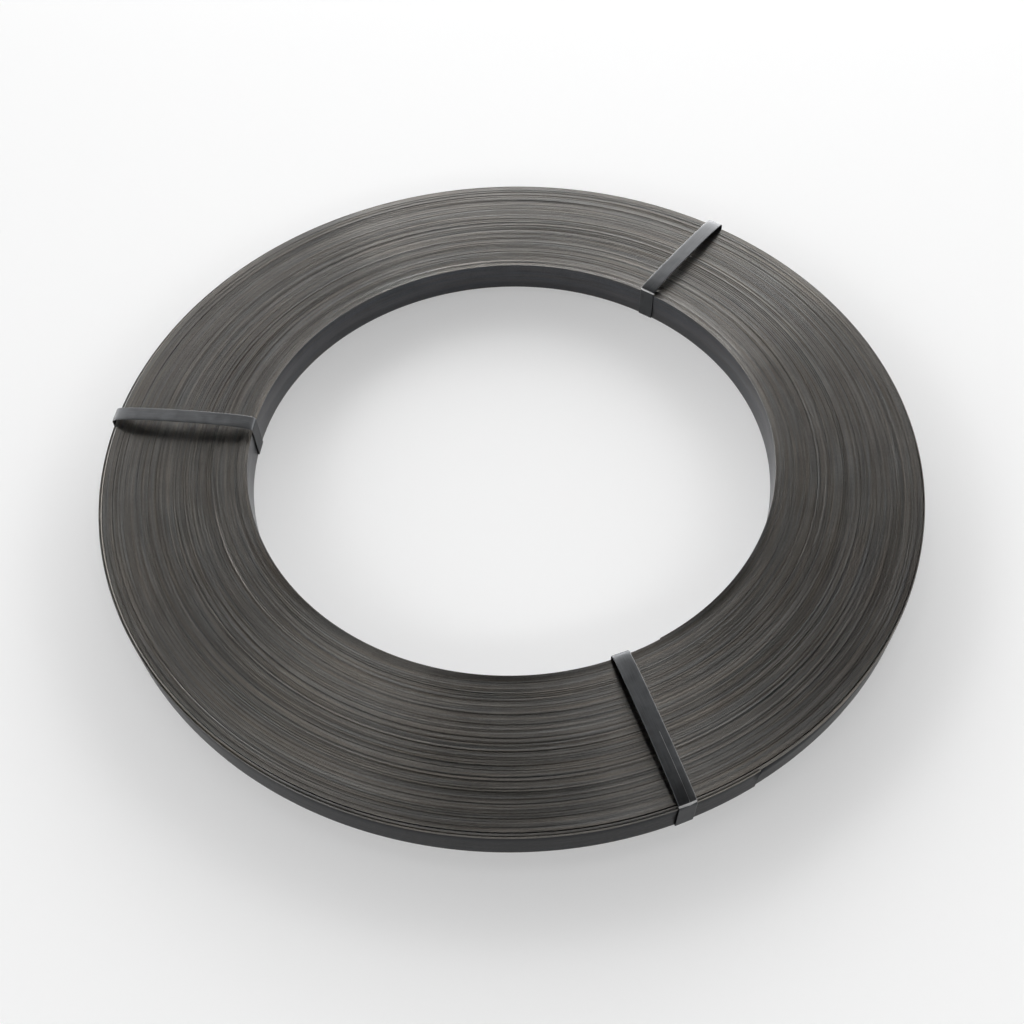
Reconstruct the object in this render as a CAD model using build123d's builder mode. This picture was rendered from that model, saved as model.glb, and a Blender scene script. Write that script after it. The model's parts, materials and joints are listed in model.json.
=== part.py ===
"""Steel strapping coil: flat strip wound turn on turn into a ring that lies flat on three ties.

Millimetres. The origin is the centre of the bore on the plane that the ties rest on, with +Z up.
"""

import os
from math import cos, radians, sqrt

from build123d import *

# The strip and the coil it is wound into
strip_width = 25.4
strip_thickness = 0.8
turn_slack = 0.015
turns = 138
bore_diameter = 406.4

# What shows of the turns on both ends: a few loose wraps at each rim, set off by a gap, and
# bundles of turns between them that stand a little out of line with each other
inner_wraps = 4
outer_wraps = 2
bundles = 10
gap_width = 0.7
gap_depth = 3.2
end_wander = 0.6
wander_turn = 140.0
step_run = 0.4

# The ties: a lighter strap round the coil's section, lapped on a wall and welded to itself
tie_width = 12.7
tie_thickness = 0.38
tie_bend = 1.5
tie_clearance = 0.1
lap_length = 18.0

# Each tie's place on the bore's wall in degrees, the angle by which it runs askew from there, and
# its bow above the top face
left_azimuth = 172.4
left_skew = 3.5
left_bow = 7.4
back_azimuth = 53.5
back_skew = -2.1
back_bow = 3.5
front_azimuth = -69.9
front_skew = -2.4
front_bow = 8.0

# The last word names the wall of the coil that the tie's lap lies on
ties = {
    "tie_left": (left_azimuth, left_skew, left_bow, "outer"),
    "tie_back": (back_azimuth, back_skew, back_bow, "outer"),
    "tie_front": (front_azimuth, front_skew, front_bow, "inner"),
}

bore_radius = bore_diameter / 2
turn_pitch = strip_thickness + turn_slack
outer_radius = bore_radius + turns * turn_pitch
coil_bottom = tie_thickness
coil_top = coil_bottom + strip_width


def bundle_radii():
    """The radii where the bundles begin and end, from the inner gap to the outer one."""
    first = bore_radius + inner_wraps * turn_pitch
    last = outer_radius - outer_wraps * turn_pitch
    return [first + (last - first) * i / bundles for i in range(bundles + 1)]


def bundle_rise(i):
    """How far bundle i stands up out of line with the wraps at the rims."""
    return end_wander * (1 - cos(radians(wander_turn * (i + 1)))) / 2


def coil_end(height, inwards):
    """The outline of one end of the coil, from the bore to the outer rim.

    inwards is the sign of the direction that the gaps are cut in.
    """
    radii = bundle_radii()
    first_gap, last_gap = radii[0], radii[-1]
    floor = height + inwards * gap_depth
    points = [(bore_radius, height), (first_gap - gap_width / 2, height), (first_gap, floor)]
    for i in range(bundles):
        level = height + bundle_rise(i)
        begin = radii[i] + (gap_width if i == 0 else step_run) / 2
        end = radii[i + 1] - (gap_width if i == bundles - 1 else step_run) / 2
        points += [(begin, level), (end, level)]
    return [*points, (last_gap, floor), (last_gap + gap_width / 2, height), (outer_radius, height)]


def make_coil():
    """The wound strip as one turned solid, with its bore and the gaps between turns on its ends."""
    with BuildPart() as coil:
        with BuildSketch(Plane.XZ):
            with BuildLine():
                Polyline(*coil_end(coil_bottom, 1), *reversed(coil_end(coil_top, -1)), close=True)
            make_face()
        revolve(axis=Axis.Z)
    return coil


def tie_plane(azimuth, skew, inner):
    """The upright plane along a tie's middle line, with its origin at the tie's face on the bore's wall."""
    return Plane(
        origin=Vector(inner, 0, 0).rotate(Axis.Z, azimuth),
        x_dir=Vector(1, 0, 0).rotate(Axis.Z, azimuth + skew),
        z_dir=Vector(0, -1, 0).rotate(Axis.Z, azimuth + skew),
    )


def make_tie(azimuth, skew, bow, lap_wall):
    """One closed tie: flat under the coil, folded at the lower rims, bowed over the top face."""
    inner = sqrt(bore_radius**2 - (tie_width / 2) ** 2) - tie_clearance
    run = (outer_radius + tie_clearance - inner) / cos(radians(skew))
    shoulder = coil_top + tie_bend
    lap_side = {"outer": run + tie_thickness * 1.5, "inner": -tie_thickness * 1.5}[lap_wall]
    across = Vector(0, 1, 0).rotate(Axis.Z, azimuth)
    with BuildPart() as tie:
        with BuildSketch(tie_plane(azimuth, skew, inner)) as section:
            with BuildLine():
                Polyline((0, shoulder), (0, coil_bottom), (run, coil_bottom), (run, shoulder))
                ThreePointArc((run, shoulder), (run / 2, coil_top + bow), (0, shoulder))
            make_face()
            fillet(section.vertices().sort_by(Axis.Y)[:2], tie_clearance)
            fillet(section.vertices().sort_by(Axis.Y)[-2:], tie_bend)
            hollow = section.sketch_local.faces()[0]
            offset(amount=tie_thickness)
            add(hollow, mode=Mode.SUBTRACT)
            with Locations((lap_side, coil_bottom + strip_width / 2)):
                Rectangle(tie_thickness, lap_length)
        extrude(amount=tie_width / 2, dir=across, both=True)
    return tie


os.makedirs("parts", exist_ok=True)

strapping_coil = make_coil()
strapping_coil.part.label = "strapping_coil"
export_step(strapping_coil.part, "parts/strapping_coil.step")

for name, (azimuth, skew, bow, lap_wall) in ties.items():
    tie = make_tie(azimuth, skew, bow, lap_wall)
    tie.part.label = name
    export_step(tie.part, f"parts/{name}.step")
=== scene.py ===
"""Looks of the steel strapping coil: wound strip with every turn as geometry, and three steel ties."""

import json
import math
from typing import NamedTuple

import bpy
import numpy as np
from mathutils import Matrix, Vector


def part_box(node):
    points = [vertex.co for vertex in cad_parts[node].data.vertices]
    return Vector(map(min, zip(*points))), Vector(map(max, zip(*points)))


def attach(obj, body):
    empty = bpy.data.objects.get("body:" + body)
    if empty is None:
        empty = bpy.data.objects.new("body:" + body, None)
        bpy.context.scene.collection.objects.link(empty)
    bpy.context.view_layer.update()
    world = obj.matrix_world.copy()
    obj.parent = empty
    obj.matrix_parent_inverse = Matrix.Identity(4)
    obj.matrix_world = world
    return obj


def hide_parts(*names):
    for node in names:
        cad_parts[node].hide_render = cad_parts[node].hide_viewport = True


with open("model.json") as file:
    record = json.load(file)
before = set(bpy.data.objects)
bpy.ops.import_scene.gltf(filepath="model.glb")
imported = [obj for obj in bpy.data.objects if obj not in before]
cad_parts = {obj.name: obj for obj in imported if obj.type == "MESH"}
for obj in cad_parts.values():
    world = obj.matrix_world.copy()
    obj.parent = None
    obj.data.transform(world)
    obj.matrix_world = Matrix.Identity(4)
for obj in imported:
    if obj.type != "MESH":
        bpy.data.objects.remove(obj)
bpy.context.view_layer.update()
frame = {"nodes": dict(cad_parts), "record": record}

MM = 0.001

# The seed of the random waves in the winding
SEED = 7

# The coil's sizes, from the frame
COIL_LOW, COIL_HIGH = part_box("strapping_coil")
BORE_MOUNT = next(m for m in frame["record"]["mounts"] if m["name"] == "bore")
BORE_RADIUS = BORE_MOUNT["dims"]["r_mm"] * MM
STRIP_WIDTH = BORE_MOUNT["dims"]["length_mm"] * MM
OUTER_RADIUS = COIL_HIGH.x
COIL_BOTTOM = COIL_LOW.z
COIL_TOP = COIL_BOTTOM + STRIP_WIDTH
HIGHEST_TURN = COIL_HIGH.z - COIL_TOP

# The strip and how it is wound: the turns run anticlockwise from above, out from START_AZIMUTH
TURNS = 138
STEPS_PER_TURN = 360
START_AZIMUTH = math.radians(-61)
TURNS_PER_PIECE = 35


class LooseGap(NamedTuple):
    """A gap beside a loose wrap: the turn before it, its width, and where round the coil it opens."""

    turn: float
    width: float
    centre: float
    spread: float


LOOSE_GAPS = (
    LooseGap(turn=3.6, width=0.5 * MM, centre=math.radians(140), spread=math.radians(80)),
    LooseGap(turn=136.2, width=0.6 * MM, centre=math.radians(-95), spread=math.radians(30)),
    LooseGap(turn=137.1, width=1.4 * MM, centre=math.radians(-120), spread=math.radians(100)),
)
TURN_PITCH = (OUTER_RADIUS - BORE_RADIUS - sum(gap.width for gap in LOOSE_GAPS)) / (TURNS + 1)

# The share of its width that a gap has where it is closed, and the turns that it takes to begin
CLOSED_GAP = 0.25
GAP_RUN_IN = 0.6

# How far the turns stand over the rims and tilt, and how much both wander. The turns rise from each rim
# over RIM_TURNS, and the cut edges of the first ones slope down outwards until SLOPE_TURNS
MEAN_RISE = 0.25 * MM
RISE_WANDER = 0.11 * MM
RIM_TURNS = 8
TILT_WANDER = math.radians(1.3)
INNER_SLOPE = math.radians(9)
SLOPE_TURNS = (3, 11)

# The widths of the grooves between turns, as shares of TURN_PITCH. A wider one comes every few turns, and
# all of them are wider on the near side by the share NEAR_LOOSENESS
GROOVE_WIDTH = 0.1
WIDTH_WANDER = 0.065
WIDE_GROOVE = 0.15
WIDTH_LIMITS = (0.04, 0.5)
WIDE_GROOVE_TURNS = 5.3
WIDE_GROOVE_WANDER = 1.2
NEAR_LOOSENESS = 0.3

# Their depth for their width, the deepest that a loose wrap opens, and their depth on the underside
SLOT_SLOPE = 4.0
DEEPEST_SLOT = 12 * MM
UNDERSIDE_SLOT = 0.25 * MM

# Material slots of the strip: its cut edges, which are the ends of the coil, and its faces, the two walls
EDGE, INNER_FACE, OUTER_FACE = 0, 1, 2

# Where the parts of a piece's surface lie in its UV map, from 0 at the bottom to 1 at the top. LAND_V is the
# part of each turn's own row that lies between its grooves
END_V, UNDER_V = 0.47, 0.48
LAND_V = (0.15, 0.85)
INNER_WALL_V, OUTER_WALL_V = (0.955, 0.972), (0.975, 0.992)
CAP_V = 0.998


class TieShape(NamedTuple):
    """What a tie adds to its CAD node: lengths in mm and angles in degrees."""

    node: str
    lap_outside: bool
    # How high it stands over the outer and the inner rim, and its top over the CAD tie's
    rises: tuple
    lift: float
    # How far the bow leans over
    roll: float
    # How far its foot on the wall of the bore stands round from the CAD tie's
    swing: float = 0.0
    # The height of the crease along it
    crease: float = 0.0
    # The rim where its fold gets a painted highlight of lighter steel, if any
    highlight_rim: str = ""


TIES = (
    TieShape("tie_left", lap_outside=True, rises=(1.2, 1.2), lift=0.3, roll=2.0, swing=1.6),
    TieShape("tie_back", lap_outside=True, rises=(0.4, 0.4), lift=2.4, roll=-2.5, highlight_rim="inner"),
    TieShape(
        "tie_front",
        lap_outside=False,
        rises=(0.2, 1.0),
        lift=-0.5,
        roll=-4.0,
        crease=0.6,
        highlight_rim="outer",
    ),
)

# A tie's bow is a half ellipse raised to this power: below 1 its back is flatter and its shoulders fuller
BOW_POWER = 0.5

# How far over the coil a tie is fully free of it, to lean and curl
FREE_HEIGHT = 2 * MM

# The points of a strap's section, from -1 to 1 across its width, and the material slots of its faces
STRAP_SECTION = (-1, -0.95, -0.88, -0.6, -0.2, 0.17, 0.23, 0.5, 0.88, 0.95, 1)
TIE_FACE, TIE_EDGE, TIE_CREASE_HIGHLIGHT, TIE_FOLD_HIGHLIGHT = 0, 1, 2, 3

# The crease: its place across the strap, the narrow face that can carry a painted highlight, where it begins
# and ends to fade as shares of the top run from the outer rim, and the height in mm from which that highlight
# is painted
CREASE_PLACE = 0.2
CREASE_FACE = STRAP_SECTION.index(0.17)
CREASE_FADE = (0.12, 0.62)
CREASE_HIGHLIGHT_DEPTH = 0.2

# Where the painted highlight on a fold begins and ends, as shares of the top run from its rim
FOLD_HIGHLIGHT_SPAN = (0.0005, 0.009)

# One edge of a strap is curled down from this place across its width
CURL_START = 0.82
EDGE_CURL = 0.1 * MM

# The radius of a tie's folds at the lower rims, and the length of its lap
TIE_FOLD = 0.3 * MM
LAP_LENGTH = 18 * MM

# How many points the parts of a tie's path have
BOW_POINTS, WALL_POINTS, FOLD_POINTS, UNDERSIDE_POINTS, LAP_POINTS = 90, 10, 5, 20, 14

# Materials: how rough the strip is, and the noise of a tie's scratches, along and across it, and its stains
STRIP_ROUGHNESS = 0.34
SCRATCH_CELLS = (12.0, 90.0)
CLOUDS_PER_METRE = 120

# Camera: fitted to the rims of the coil in the photograph
PICTURE_SIDE = 1024
FOCAL_PIXELS = 1119
SENSOR_MM = 36.0
CAMERA_DISTANCE = 0.8918
CAMERA_ELEVATION = math.radians(51.09)
CAMERA_PITCH = math.radians(53.62)
CAMERA_TURN = math.radians(-0.07)
CAMERA_ROLL = math.radians(-1.49)

# The floor lies just under the ties, clear of their undersides
FLOOR_SIDE = 4.0
FLOOR_DROP = 0.2 * MM


def smooth_step(x):
    """0 below 0, 1 above 1, and a smooth rise between them."""
    x = np.clip(x, 0, 1)
    return x * x * (3 - 2 * x)


def waves(place, rng, count, lobes):
    """A wandering value of about unit size along the winding. place is in turns.

    Each wave has a whole number of lobes round the coil and drifts by a part of a lobe per turn.
    """
    total = np.zeros_like(place)
    for _ in range(count):
        frequency = rng.integers(0, lobes + 1) + rng.uniform(0.03, 0.5)
        total += np.cos(2 * math.pi * (frequency * place + rng.uniform(0, 1)))
    return total / math.sqrt(count / 2)


def angle_from(azimuth, centre):
    """The angle between two azimuths, from 0 to pi."""
    return np.abs((azimuth - centre + math.pi) % (2 * math.pi) - math.pi)


def make_mesh(name, points, faces, loop_uvs, slots, flat_slots=()):
    """A mesh object from its points, arrays of faces, and the UVs and material slots of these.

    loop_uvs has one UV for each corner of a face, and slots has one slot for each face. Faces in flat_slots
    and faces with more than four corners are shaded flat, and the others smooth.
    """
    mesh = bpy.data.meshes.new(name)
    counts = np.concatenate([np.full(len(f), f.shape[1]) for f in faces])
    used, corners = np.unique(np.concatenate([f.ravel() for f in faces]), return_inverse=True)
    points = points[used]
    mesh.vertices.add(len(points))
    mesh.vertices.foreach_set("co", np.asarray(points, np.float32).ravel())
    mesh.loops.add(len(corners))
    mesh.loops.foreach_set("vertex_index", corners.astype(np.int32))
    mesh.polygons.add(len(counts))
    starts = np.concatenate([[0], np.cumsum(counts)[:-1]])
    mesh.polygons.foreach_set("loop_start", starts.astype(np.int32))
    mesh.update(calc_edges=True)
    slots = np.concatenate(slots)
    mesh.polygons.foreach_set("material_index", slots.astype(np.int32))
    mesh.polygons.foreach_set("use_smooth", ~np.isin(slots, flat_slots) & (counts <= 4))
    layer = mesh.uv_layers.new(name="OFBake")
    layer.data.foreach_set("uv", np.asarray(loop_uvs, np.float32).ravel())
    mesh.validate()
    piece = bpy.data.objects.new(name, mesh)
    bpy.context.scene.collection.objects.link(piece)
    return piece


# The winding


def loosening(place, azimuth):
    """How far loose wraps push the strip outwards at each place along the winding."""
    push = np.zeros_like(place)
    for turn, width, centre, spread in LOOSE_GAPS:
        closed = smooth_step(angle_from(azimuth, centre) / spread - 0.5)
        opening = CLOSED_GAP + (1 - CLOSED_GAP) * (1 - closed)
        push += width * opening * smooth_step((place - turn) / GAP_RUN_IN + 0.5)
    return push


def winding():
    """The strip's azimuth, inner radius, rise, tilt and groove width, at each step of the whole winding."""
    rng = np.random.default_rng(SEED)
    steps = np.arange((TURNS + 1) * STEPS_PER_TURN + 1)
    place = steps / STEPS_PER_TURN
    azimuth = START_AZIMUTH + 2 * math.pi * place
    radius = BORE_RADIUS + TURN_PITCH * place + loosening(place, azimuth)
    rise = MEAN_RISE + RISE_WANDER * waves(place, rng, count=24, lobes=2)
    from_rim = np.minimum(place, TURNS - place)
    rise = np.clip(rise * smooth_step(from_rim / RIM_TURNS), 0, HIGHEST_TURN)
    tilt = TILT_WANDER * waves(place, rng, count=30, lobes=4)
    first, last = SLOPE_TURNS
    tilt -= INNER_SLOPE * (1 - smooth_step((place - first) / (last - first)))
    gap = GROOVE_WIDTH + WIDTH_WANDER * waves(place, rng, count=30, lobes=3)
    wander = WIDE_GROOVE_WANDER * waves(place, rng, count=6, lobes=2)
    wide = 0.5 + 0.5 * np.cos(2 * math.pi * place / WIDE_GROOVE_TURNS + wander)
    gap = np.clip(gap + WIDE_GROOVE * wide**4, *WIDTH_LIMITS)
    gap *= 1 - NEAR_LOOSENESS * np.sin(azimuth)
    return azimuth, radius, rise, tilt, gap


def make_turns(name, first_turn, last_turn, wound):
    """The turns from first_turn up to last_turn as one closed mesh, with grooves between them."""
    n = STEPS_PER_TURN
    steps = np.arange(first_turn * n, last_turn * n + n + 1)
    count = len(steps)
    azimuth, radius, rise, tilt, gap = (values[steps] for values in wound)
    next_radius = wound[1][np.minimum(steps + n, len(wound[1]) - 1)]
    loose = np.maximum(next_radius - radius - TURN_PITCH, 0)
    slot = gap * TURN_PITCH + loose
    depth = np.clip(slot * SLOT_SLOPE, 0, DEEPEST_SLOT)
    top = COIL_TOP + rise
    lift = np.tan(tilt) * TURN_PITCH / 2
    land_in = radius + gap * TURN_PITCH / 2
    land_out = radius + TURN_PITCH * (1 - gap / 2)

    def ring(radii, heights):
        return np.stack([radii * np.cos(azimuth), radii * np.sin(azimuth), heights], -1)

    rows = {
        "slot_top": ring(radius, top - depth),
        "in_top": ring(land_in, top - lift),
        "out_top": ring(land_out, top + lift),
        "slot_bottom": ring(radius, np.full(count, COIL_BOTTOM + UNDERSIDE_SLOT)),
        "out_bottom": ring(radius + TURN_PITCH / 2, np.full(count, COIL_BOTTOM)),
    }
    row_names = list(rows)
    own = np.arange((last_turn - first_turn) * n)
    faces, uvs, slots = [], [], []

    def at(row, step):
        return row_names.index(row) * count + step

    def join(lower, upper, low_v, high_v, slot_index, own=own, up_shift=0, flip=False):
        """Quads from one row to another at each step. low_v and high_v are the rows' UV heights."""
        above = own + up_shift
        quad = [at(lower, own), at(lower, own + 1), at(upper, above + 1), at(upper, above)]
        u = own % n / n
        uv = [(u, low_v), (u + 1 / n, low_v), (u + 1 / n, high_v), (u, high_v)]
        quad = np.stack(quad, -1)
        uv = np.stack([np.stack(np.broadcast_arrays(*corner), -1) for corner in uv], 1)
        faces.append(quad[:, ::-1] if flip else quad)
        uvs.append((uv[:, ::-1] if flip else uv).reshape(-1, 2))
        slots.append(np.full(len(quad), slot_index))

    def v_of(share, base):
        return base + END_V * (own // n + share) / (last_turn - first_turn)

    land_from, land_to = (v_of(share, 0) for share in LAND_V)
    join("slot_top", "in_top", v_of(0, 0), land_from, EDGE, flip=True)
    join("in_top", "out_top", land_from, land_to, EDGE, flip=True)
    join("out_top", "slot_top", land_to, v_of(1, 0), EDGE, up_shift=n, flip=True)
    join("slot_bottom", "out_bottom", v_of(0, UNDER_V), v_of(0.5, UNDER_V), EDGE)
    join("out_bottom", "slot_bottom", v_of(0.5, UNDER_V), v_of(1, UNDER_V), EDGE, up_shift=n)
    join("slot_bottom", "slot_top", *INNER_WALL_V, INNER_FACE, own=own[:n], flip=True)
    join("slot_bottom", "slot_top", *OUTER_WALL_V, OUTER_FACE, own=own[-n:] + n)
    for step, ends in ((0, False), (len(own), True)):
        outside, inside = step + n, step
        cap = [
            *(at(row, inside) for row in ("slot_bottom", "slot_top", "in_top", "out_top")),
            *(at(row, outside) for row in ("slot_top", "slot_bottom")),
            at("out_bottom", inside),
        ]
        faces.append(np.array([cap[::-1] if ends else cap]))
        uvs.append(np.full((len(cap), 2), CAP_V))
        slots.append(np.array([OUTER_FACE]))
    return make_mesh(name, np.concatenate(list(rows.values())), faces, np.concatenate(uvs), slots, (EDGE,))


def make_coil(materials):
    """All turns, in pieces of TURNS_PER_PIECE turns so that none is too heavy."""
    wound = winding()
    for i, first in enumerate(range(0, TURNS, TURNS_PER_PIECE)):
        last = min(first + TURNS_PER_PIECE, TURNS)
        piece = make_turns(f"strip_turns_{i + 1}", first, last, wound)
        for material in materials:
            piece.data.materials.append(material)
        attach(piece, "root")
        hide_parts("strapping_coil")


# The ties


class TiePlane:
    """Where a CAD tie lies, read from its mesh: its middle line in plan, its walls, its top and its width.

    The tie runs along one direction and its width lies across another, along the wall of the bore. swing
    turns its foot on that wall round the coil's axis by an angle in degrees. The other foot keeps its place.
    """

    def __init__(self, node, lap_outside, swing):
        points = np.array([v.co for v in frame["nodes"][node].data.vertices])
        flat = points[:, :2]
        beyond = np.hypot(*flat.T) > (BORE_RADIUS + OUTER_RADIUS) / 2
        self.origin = flat[~beyond].mean(0)
        self.along = flat[beyond].mean(0) - self.origin
        self.along /= np.linalg.norm(self.along)
        # The foot and the direction across it depend on each other, so a few rounds settle both
        foot = self.origin
        for _ in range(4):
            self.across = np.array([-foot[1], foot[0]]) / np.linalg.norm(foot)
            reach, side = np.linalg.solve(np.stack([self.along, self.across], 1), (flat - self.origin).T)
            foot = self.origin + reach.min() * self.along
        self.width = np.ptp(side)
        self.thickness = COIL_BOTTOM
        half = self.thickness / 2
        self.inner = reach.min() + half + (0 if lap_outside else self.thickness)
        self.outer = reach.max() - half - (self.thickness if lap_outside else 0)
        self.top = points[:, 2].max() - half
        far_foot = self.origin + self.outer * self.along
        turn = np.array(Matrix.Rotation(math.radians(swing), 2))
        self.origin = turn @ (self.origin + self.inner * self.along)
        self.across = turn @ self.across
        self.inner, self.outer = 0, np.linalg.norm(far_foot - self.origin)
        self.along = (far_foot - self.origin) / self.outer

    def place(self, reach, side, height):
        """Points in space from their reach along the tie, their place across it and their height."""
        flat = self.origin + reach[..., None] * self.along + side[..., None] * self.across
        return np.concatenate([flat, height[..., None]], -1)


def arc(centre, radius, start, end, count):
    """Points on an arc, with start and end in radians."""
    angles = np.linspace(start, end, count)
    return np.stack([centre[0] + radius * np.cos(angles), centre[1] + radius * np.sin(angles)], -1)


def line(start, end, count):
    """Points from start to end, without its two ends."""
    share = np.linspace(0, 1, count + 2)[1:-1, None]
    return np.array(start) * (1 - share) + np.array(end) * share


def tie_path(inner, outer, top, rises):
    """The closed middle line of a tie as reach and height, and each point's share of the top run.

    It goes up the outer wall, over the top in one full bow, down the inner wall and back under the coil.
    """
    low = COIL_BOTTOM / 2
    fold = TIE_FOLD
    rise_out, rise_in = rises
    turn = np.linspace(0, math.pi, BOW_POINTS)
    share = (1 - np.cos(turn)) / 2
    rise = rise_out + (rise_in - rise_out) * share
    bow = (top - COIL_TOP - (rise_out + rise_in) / 2) * np.abs(np.sin(turn)) ** BOW_POWER
    parts = [
        line((outer, low + fold), (outer, COIL_TOP + rise_out), WALL_POINTS),
        np.stack([outer - (outer - inner) * share, COIL_TOP + rise + bow], -1),
        line((inner, COIL_TOP + rise_in), (inner, low + fold), WALL_POINTS),
        arc((inner + fold, low + fold), fold, math.pi, 1.5 * math.pi, FOLD_POINTS),
        line((inner + fold, low), (outer - fold, low), UNDERSIDE_POINTS),
        arc((outer - fold, low + fold), fold, 1.5 * math.pi, 2 * math.pi, FOLD_POINTS),
    ]
    points = np.concatenate(parts)
    return points, np.clip((outer - points[:, 0]) / (outer - inner), 0, 1)


def sweep_strap(name, plane, path, closed, shape=None, painted_highlights=()):
    """A flat strap swept along a path of reach and height in the plane of a tie.

    shape gives how far the strap stands out of its flat, from the place across its width, -1 to 1, and the
    index of the point of the path. painted_highlights has pairs of a material slot of lighter steel that
    paints a highlight and the test for its faces, which takes the same index and the face's place in the
    section.
    """
    across = np.array(STRAP_SECTION)
    if closed:
        tangent = np.roll(path, -1, 0) - np.roll(path, 1, 0)
    else:
        tangent = np.gradient(path, axis=0)
    tangent /= np.linalg.norm(tangent, axis=1)[:, None]
    normal = np.stack([tangent[:, 1], -tangent[:, 0]], -1)
    count, half = len(path), len(across)
    stand = shape(across[None, :], np.arange(count)[:, None]) if shape else np.zeros((count, half))
    rounding = 1 - 0.5 * (np.abs(across) == 1)
    points = []
    for sign, order in ((0.5, range(half)), (-0.5, reversed(range(half)))):
        for j in order:
            offset = sign * plane.thickness * rounding[j] + stand[:, j]
            flat = path + normal * offset[:, None]
            side = np.full(count, across[j] * plane.width / 2)
            points.append(plane.place(flat[:, 0], side, flat[:, 1]))
    ring = 2 * half
    points = np.stack(points, 1).reshape(-1, 3)
    last = count if closed else count - 1
    i, j = np.meshgrid(np.arange(last), np.arange(ring), indexing="ij")
    after_i, after_j = (i + 1) % count, (j + 1) % ring
    quads = np.stack([i * ring + j, after_i * ring + j, after_i * ring + after_j, i * ring + after_j], -1)
    u, v = i / last, j / ring
    corners = ((u, v), (u + 1 / last, v), (u + 1 / last, v + 1 / ring), (u, v + 1 / ring))
    uvs = np.stack([np.stack(corner, -1) for corner in corners], 2)
    slot = np.where((j >= half - 2) & (j <= half), TIE_EDGE, TIE_FACE)
    for highlight_slot, highlight_test in painted_highlights:
        slot = np.where(highlight_test(i, j), highlight_slot, slot)
    faces, loop_uvs, slots = [quads.reshape(-1, 4)], [uvs.reshape(-1, 2)], [slot.ravel()]
    if not closed:
        for cap in (np.arange(ring)[::-1], (count - 1) * ring + np.arange(ring)):
            faces.append(cap[None, :])
            loop_uvs.append(np.zeros((ring, 2)))
            slots.append(np.array([TIE_EDGE]))
    return make_mesh(name, points, faces, np.concatenate(loop_uvs), slots)


def make_tie(tie, materials):
    """A tie that replaces its CAD node: the strap, its crease, and the end that laps over it."""
    plane = TiePlane(tie.node, tie.lap_outside, tie.swing)
    rises = tuple(rise * MM for rise in tie.rises)
    path, share = tie_path(plane.inner, plane.outer, plane.top + tie.lift * MM, rises)
    free = np.clip((path[:, 1] - COIL_TOP) / FREE_HEIGHT, 0, 1)
    bowed = np.sqrt(4 * share * (1 - share)) * free
    full, faded = CREASE_FADE
    creased = smooth_step((faded - share) / (faded - full)) * free
    # The fold at highlight_rim gets lighter steel: a painted highlight
    from_rim = 1 - share if tie.highlight_rim == "inner" else share
    fold = (from_rim > FOLD_HIGHLIGHT_SPAN[0]) & (from_rim < FOLD_HIGHLIGHT_SPAN[1]) & (tie.highlight_rim != "")

    def shape(place, i):
        curl = -EDGE_CURL * smooth_step((place - CURL_START) / (1 - CURL_START)) * free[i]
        side = np.where(place < CREASE_PLACE, 1 + CREASE_PLACE, 1 - CREASE_PLACE)
        ridge = -np.abs(place - CREASE_PLACE) / side
        turn = place * math.sin(math.radians(tie.roll)) * plane.width / 2 * bowed[i]
        return curl + tie.crease * MM * ridge * creased[i] + turn

    # Faces of lighter steel that are painted highlights: one face of the crease and the fold at one rim
    painted_highlights = (
        (TIE_CREASE_HIGHLIGHT, lambda i, j: (j == CREASE_FACE) & (tie.crease * creased[i] > CREASE_HIGHLIGHT_DEPTH)),
        (TIE_FOLD_HIGHLIGHT, lambda i, j: fold[i] & (j < len(STRAP_SECTION))),
    )
    strap = sweep_strap(tie.node + "_strap", plane, path, closed=True, shape=shape, painted_highlights=painted_highlights)
    wall = plane.outer + plane.thickness if tie.lap_outside else plane.inner - plane.thickness
    middle = COIL_BOTTOM + STRIP_WIDTH / 2
    ends = ((wall, middle - LAP_LENGTH / 2), (wall, middle + LAP_LENGTH / 2))
    lap_path = np.array([ends[0], *line(*ends, LAP_POINTS), ends[1]])
    lap = sweep_strap(tie.node + "_lap", plane, lap_path, closed=False)
    for piece in (strap, lap):
        for material in materials:
            piece.data.materials.append(material)
        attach(piece, "root")
    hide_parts(tie.node)


# Materials


class Nodes:
    """Short calls that add nodes to a material or a world and join them up."""

    def __init__(self, owner):
        owner.use_nodes = True
        self.tree = owner.node_tree

    def add(self, kind, inputs=(), output=0, **settings):
        """A node with the given settings and inputs, by name or index. An input is a value or an output."""
        node = self.tree.nodes.new("ShaderNode" + kind)
        for name, value in settings.items():
            setattr(node, name, value)
        for name, value in dict(inputs).items():
            self.put(node.inputs[name], value)
        return node.outputs[output]

    def put(self, socket, value):
        if isinstance(value, bpy.types.NodeSocket):
            self.tree.links.new(value, socket)
        else:
            socket.default_value = value

    def math(self, operation, *values):
        return self.add("Math", enumerate(values), operation=operation)

    def noise(self, vector, detail=3.0, roughness=0.55):
        """Noise about 0, mostly within -0.5 and 0.5, at a scale set by the vector."""
        inputs = {"Vector": vector, "Scale": 1.0, "Detail": detail, "Roughness": roughness}
        return self.math("SUBTRACT", self.add("TexNoise", inputs), 0.5)

    def spread(self, noise, low, high):
        """Noise about 0 mapped to the range from low to high, and kept inside it."""
        inputs = {"Value": noise, "From Min": -0.22, "From Max": 0.22, "To Min": low, "To Max": high}
        return self.add("MapRange", inputs)


def ring_places(nodes):
    """Where a point of the coil is: the two parts of its direction from the axis, its radius and height."""
    place = nodes.add("NewGeometry", output=0)
    split = nodes.add("SeparateXYZ", {0: place})
    x, y, z = split.node.outputs
    squares = (nodes.math("POWER", part, 2.0) for part in (x, y))
    radius = nodes.math("SQRT", nodes.math("ADD", *squares))
    return nodes.math("DIVIDE", x, radius), nodes.math("DIVIDE", y, radius), radius, z


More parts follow.
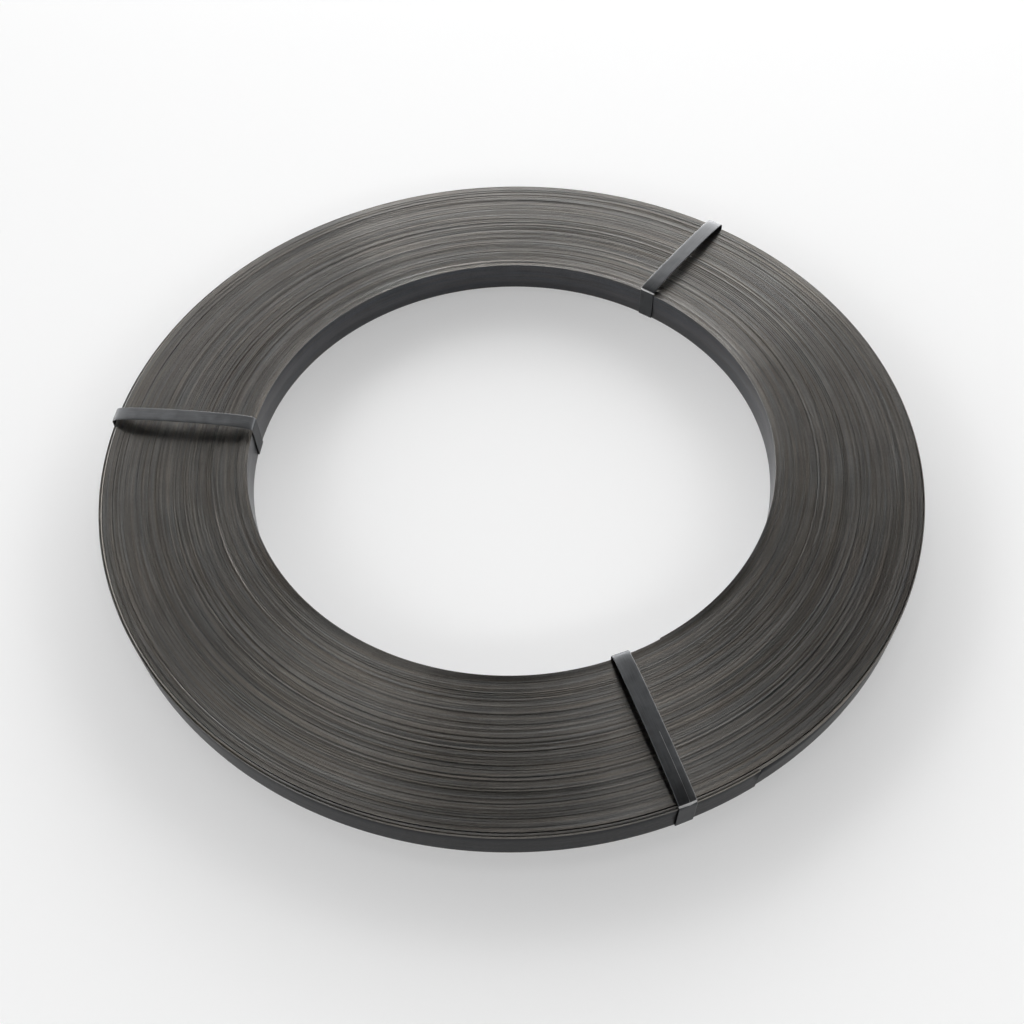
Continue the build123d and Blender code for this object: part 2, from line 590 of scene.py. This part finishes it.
def ring_vector(nodes, places, arcs, rings, heights):
    """Noise coordinates with the given numbers of cells: per radian round, and per metre out and up."""
    cos, sin, radius, height = places
    parts = (
        nodes.math("MULTIPLY", cos, arcs),
        nodes.math("MULTIPLY", sin, arcs),
        nodes.math("ADD", nodes.math("MULTIPLY", radius, rings), nodes.math("MULTIPLY", height, heights)),
    )
    return nodes.add("CombineXYZ", enumerate(parts))


def strip_steel(name, colour, anisotropy, rings, heights, bump, grazing=1.0):
    """Dark mill steel of the strip, streaked along its length, with small nicks and stains.

    rings and heights are the streaks per metre out and up, and bump is how far they stand out, in metres.
    grazing is the share of its usual brightness that it has when it is seen along its surface.
    """
    material = bpy.data.materials.new(name)
    nodes = Nodes(material)
    shader = material.node_tree.nodes["Principled BSDF"]
    places = ring_places(nodes)
    streaks = nodes.noise(ring_vector(nodes, places, 5, rings, heights), 2)
    bands = nodes.noise(ring_vector(nodes, places, 1.5, rings / 8, heights / 8), 2)
    nicks = nodes.noise(ring_vector(nodes, places, 130, rings * 1.3, heights * 1.3), 2)
    stains = nodes.noise(ring_vector(nodes, places, 12, 60, 60), 3)
    hue = nodes.noise(ring_vector(nodes, places, 3, rings / 3, heights / 3), 1)

    level = nodes.math("MULTIPLY", nodes.spread(streaks, 0.86, 1.14), nodes.spread(bands, 0.9, 1.1))
    level = nodes.math("MULTIPLY", level, nodes.spread(nicks, 0.86, 1.14))
    level = nodes.math("MULTIPLY", level, nodes.spread(stains, 0.92, 1.08))
    warm = nodes.spread(hue, -0.05, 0.05)
    shades = []
    for part, turn in zip(colour, (1, 0, -1)):
        shift = nodes.math("ADD", nodes.math("MULTIPLY", warm, float(turn)), 1.0)
        shades.append(nodes.math("MULTIPLY", nodes.math("MULTIPLY", level, shift), part))
    nodes.put(shader.inputs["Base Color"], nodes.add("CombineColor", enumerate(shades)))
    shader.inputs["Metallic"].default_value = 1.0
    rough = nodes.math("ADD", nodes.spread(streaks, -0.03, 0.03), nodes.spread(nicks, -0.03, 0.03))
    nodes.put(shader.inputs["Roughness"], nodes.math("ADD", rough, STRIP_ROUGHNESS))
    shader.inputs["Specular Tint"].default_value = (*(grazing,) * 3, 1)
    shader.inputs["Anisotropic"].default_value = anisotropy
    shader.inputs["Anisotropic Rotation"].default_value = 0.25
    nodes.put(shader.inputs["Tangent"], nodes.add("Tangent", direction_type="RADIAL", axis="Z"))
    bumps = {"Height": streaks, "Distance": bump, "Strength": 1.0}
    nodes.put(shader.inputs["Normal"], nodes.add("Bump", bumps))
    return material


def tie_steel(name, colour, roughness):
    """Steel of the ties: smoother and bluer than the strip's edges, with faint lengthwise scratches."""
    material = bpy.data.materials.new(name)
    nodes = Nodes(material)
    shader = material.node_tree.nodes["Principled BSDF"]
    place = nodes.add("UVMap", uv_map="OFBake")
    split = nodes.add("SeparateXYZ", {0: place})
    along, across, _ = split.node.outputs
    parts = (nodes.math("MULTIPLY", axis, cells) for axis, cells in zip((along, across), SCRATCH_CELLS))
    scratches = nodes.noise(nodes.add("CombineXYZ", enumerate(parts)), 3)
    inputs = {0: nodes.add("NewGeometry"), 1: (CLOUDS_PER_METRE,) * 3}
    clouds = nodes.noise(nodes.add("VectorMath", inputs, operation="MULTIPLY"), 3)
    level = nodes.math("MULTIPLY", nodes.spread(scratches, 0.85, 1.15), nodes.spread(clouds, 0.85, 1.15))
    shades = [nodes.math("MULTIPLY", level, part) for part in colour]
    nodes.put(shader.inputs["Base Color"], nodes.add("CombineColor", enumerate(shades)))
    shader.inputs["Metallic"].default_value = 1.0
    nodes.put(shader.inputs["Roughness"], nodes.math("ADD", nodes.spread(clouds, -0.06, 0.06), roughness))
    return material


def pale_floor(colour, glow):
    """A matt floor that is paler to the camera and in mirrors than its colour, by a share of plain white."""
    material = bpy.data.materials.new("floor")
    nodes = Nodes(material)
    shader = nodes.tree.nodes["Principled BSDF"]
    shader.inputs["Base Color"].default_value = (*(colour,) * 3, 1)
    shader.inputs["Roughness"].default_value = 0.9
    shader.inputs["Specular IOR Level"].default_value = 0.1
    rays = nodes.add("LightPath").node.outputs
    seen = nodes.math("MAXIMUM", rays["Is Camera Ray"], rays["Is Glossy Ray"])
    seen = nodes.math("MAXIMUM", seen, rays["Is Transmission Ray"])
    white = nodes.add("Emission", {"Color": (1, 1, 1, 1), "Strength": 1.0})
    mixed = nodes.add("MixShader", {0: nodes.math("MULTIPLY", seen, glow), 1: shader.outputs[0], 2: white})
    nodes.put(nodes.tree.nodes["Material Output"].inputs["Surface"], mixed)
    return material


def add_sky(horizon, overhead, heights, lean):
    """A world of one grey that fades from the horizon to overhead between two heights, on a unit sphere.

    lean is the share by which it is lighter towards +X and towards +Y.
    """
    world = bpy.data.worlds.new("world")
    bpy.context.scene.world = world
    nodes = Nodes(world)
    direction = nodes.add("TexCoord", output=0)
    height = nodes.add("SeparateXYZ", {0: direction}, output=2)
    low, high = heights
    inputs = {"Value": height, "From Min": low, "From Max": high, "To Min": horizon, "To Max": overhead}
    level = nodes.add("MapRange", inputs, interpolation_type="SMOOTHSTEP")
    side = nodes.add("VectorMath", {0: direction, 1: (*lean, 0)}, output=1, operation="DOT_PRODUCT")
    side = nodes.math("MAXIMUM", nodes.math("ADD", side, 1.0), 0.0)
    background = nodes.tree.nodes["Background"]
    nodes.put(background.inputs["Strength"], nodes.math("MULTIPLY", level, side))
    background.inputs["Color"].default_value = (1, 1, 1, 1)


def add_camera():
    """The camera of the photograph."""
    camera = bpy.data.objects.new("camera", bpy.data.cameras.new("camera"))
    bpy.context.scene.collection.objects.link(camera)
    bpy.context.scene.camera = camera
    camera.data.sensor_width = SENSOR_MM
    camera.data.lens = FOCAL_PIXELS / PICTURE_SIDE * SENSOR_MM
    place = Vector((0, -math.cos(CAMERA_ELEVATION), math.sin(CAMERA_ELEVATION))) * CAMERA_DISTANCE
    forward = Vector(
        (
            math.sin(CAMERA_TURN) * math.cos(CAMERA_PITCH),
            math.cos(CAMERA_TURN) * math.cos(CAMERA_PITCH),
            -math.sin(CAMERA_PITCH),
        )
    )
    right = forward.cross(Vector((0, 0, 1))).normalized()
    up = right.cross(forward)
    turn = Matrix((right, up, -forward)).transposed().to_4x4()
    camera.matrix_world = Matrix.Translation(place) @ turn @ Matrix.Rotation(CAMERA_ROLL, 4, "Z")


def add_lamp(name, azimuth, elevation, distance, size, radiance):
    """A rectangular softbox that faces the coil's middle. size is its width and height in degrees."""
    light = bpy.data.lights.new(name, "AREA")
    light.shape = "RECTANGLE"
    light.size, light.size_y = (2 * distance * math.tan(math.radians(side / 2)) for side in size)
    light.energy = radiance * math.pi * light.size * light.size_y
    lamp = bpy.data.objects.new(name, light)
    bpy.context.scene.collection.objects.link(lamp)
    level = math.cos(math.radians(elevation))
    direction = Vector(
        (
            math.cos(math.radians(azimuth)) * level,
            math.sin(math.radians(azimuth)) * level,
            math.sin(math.radians(elevation)),
        )
    )
    lamp.location = direction * distance
    lamp.rotation_euler = direction.to_track_quat("Z", "Y").to_euler()


add_camera()
edge_steel = strip_steel(
    "edge_steel",
    colour=(0.166, 0.158, 0.147),
    anisotropy=0.97,
    rings=1400.0,
    heights=300.0,
    bump=0.01 * MM,
)
inner_face_steel = strip_steel(
    "inner_face_steel",
    colour=(0.081, 0.082, 0.088),
    anisotropy=0.2,
    rings=40.0,
    heights=900.0,
    bump=0.003 * MM,
)
# The same strip face as the inner wall, but three times darker and duller at grazing angles: painted shade on
# the outer wall
outer_face_steel_painted_shade = strip_steel(
    "outer_face_steel_painted_shade",
    colour=(0.027, 0.0275, 0.03),
    anisotropy=0.2,
    rings=40.0,
    heights=900.0,
    bump=0.003 * MM,
    grazing=0.7,
)
make_coil((edge_steel, inner_face_steel, outer_face_steel_painted_shade))

tie_materials = (
    tie_steel("tie_face", colour=(0.064, 0.066, 0.069), roughness=0.47),
    tie_steel("tie_edge", colour=(0.11, 0.11, 0.11), roughness=0.42),
    # Two lighter steels that paint highlights: one on a tie's crease, one on its fold at one rim
    tie_steel("tie_crease_painted_highlight", colour=(0.2, 0.2, 0.2), roughness=0.4),
    tie_steel("tie_fold_painted_highlight", colour=(0.34, 0.34, 0.34), roughness=0.32),
)
for tie in TIES:
    make_tie(tie, tie_materials)

# The light: a pale horizon that is brightest on the far side, a low panel behind the coil, a strip in front
# of it, and two lamps high up on the far side, which the coil's upper end mirrors
add_sky(horizon=3.9, overhead=0.0, heights=(0.36, 0.5), lean=(-0.25, 0.93))
add_lamp("far_panel", azimuth=80, elevation=10, distance=3.0, size=(50, 13), radiance=12.0)
add_lamp("front_strip", azimuth=-80, elevation=28, distance=2.6, size=(80, 8), radiance=3.0)
add_lamp("left_lamp", azimuth=134, elevation=69, distance=2.2, size=(6.5, 15), radiance=3.3)
add_lamp("right_lamp", azimuth=52, elevation=72.5, distance=2.2, size=(6.5, 15), radiance=3.5)

bpy.ops.mesh.primitive_plane_add(size=FLOOR_SIDE, location=(0, 0, -FLOOR_DROP))
floor = bpy.context.object
floor.name = "floor"
floor.data.materials.append(pale_floor(colour=0.92, glow=0.3))

scene = bpy.context.scene
scene.view_settings.view_transform = "Standard"
